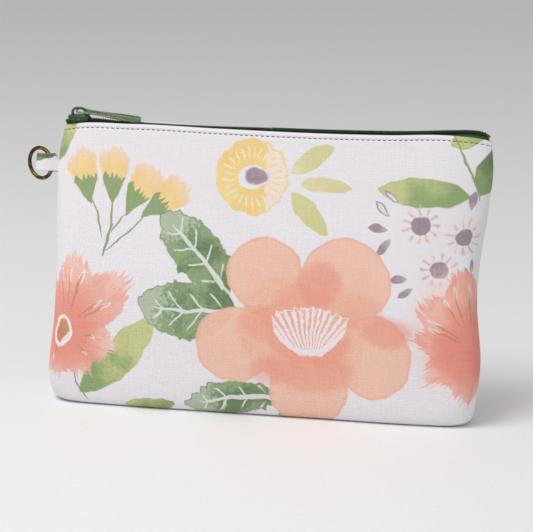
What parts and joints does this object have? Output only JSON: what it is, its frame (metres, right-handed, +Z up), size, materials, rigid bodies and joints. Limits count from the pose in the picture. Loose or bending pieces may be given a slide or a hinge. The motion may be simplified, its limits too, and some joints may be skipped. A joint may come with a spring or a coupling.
{
  "type": "makeup bag",
  "caption": "Zip-top makeup bag of printed cotton canvas with a flat base, a coil zip along the top and a fabric loop with a metal ring on one side seam.",
  "frame": {"origin": "centre of the base, on the surface that the bag stands on", "axes": "+X along the zip towards its open end, -Y is the front, +Z up"},
  "size_m": [0.253, 0.056, 0.1556],
  "materials": {
    "printed_canvas": "white plain-weave cotton canvas with a watercolour floral print",
    "padding": "thin needled padding",
    "lining": "plain woven lining",
    "zip_tape": "green woven zip tape",
    "zip_coil": "dark green nylon coil",
    "thread": "dark grey-green sewing thread",
    "slider_metal": "dark green paint, satin",
    "pull_metal": "sage green paint, satin",
    "ring_metal": "antique brass, dark in the recesses"
  },
  "bodies": {
    "pouch": {"base_canvas": "printed_canvas", "base_padding": "padding", "base_lining": "lining", "left_side_canvas": "printed_canvas", "right_side_canvas": "printed_canvas", "left_side_lining": "lining", "right_side_lining": "lining", "left_zip_tape_end": "zip_tape", "right_zip_tape_end": "zip_tape", "left_zip_coil_end": "zip_coil", "right_zip_coil_end": "zip_coil", "zip_top_stops": "slider_metal", "zip_bottom_stop": "slider_metal"},
    "front_wall": {"front_canvas": "printed_canvas", "front_padding": "padding", "front_lining": "lining", "front_zip_tape": "zip_tape", "front_zip_coil": "zip_coil", "front_hem_stitches": "thread"},
    "back_wall": {"back_canvas": "printed_canvas", "back_padding": "padding", "back_lining": "lining", "back_zip_tape": "zip_tape", "back_zip_coil": "zip_coil", "back_hem_stitches": "thread"},
    "slider": {"slider_body": "slider_metal", "slider_bridge": "slider_metal"},
    "pull": {"pull_tab": "pull_metal"},
    "loop": {"side_loop": "printed_canvas", "side_loop_stitches": "thread"},
    "ring": {"ring": "ring_metal"}
  },
  "joints": [
    {"name": "zip_slide", "type": "slide", "parent": "pouch", "child": "slider", "axis": [1, 0, 0], "range_m": [0, 0.205]},
    {"name": "front_wall_open", "type": "hinge", "parent": "pouch", "child": "front_wall", "pos_m": [0, -0.028, 0], "axis": [1, 0, 0], "range_deg": [0, 15]},
    {"name": "back_wall_open", "type": "hinge", "parent": "pouch", "child": "back_wall", "pos_m": [0, 0.028, 0], "axis": [-1, 0, 0], "range_deg": [0, 15]},
    {"name": "pull_flip", "type": "hinge", "parent": "slider", "child": "pull", "pos_m": [-0.1051, 0, 0.1537], "axis": [0, -1, 0], "range_deg": [0, 180]},
    {"name": "loop_flex", "type": "hinge", "parent": "pouch", "child": "loop", "pos_m": [-0.11705, 0, 0.125], "axis": [0, 0, 1], "range_deg": [-40, 40]},
    {"name": "ring_swing", "type": "hinge", "parent": "loop", "child": "ring", "pos_m": [-0.12255, 0, 0.124], "axis": [0, 0, 1], "range_deg": [-10, 60]}
  ],
  "couplings": [
    {"joint": "front_wall_open", "follows": "zip_slide", "rad_per_m": 1.2766},
    {"joint": "back_wall_open", "follows": "zip_slide", "rad_per_m": 1.2766}
  ]
}
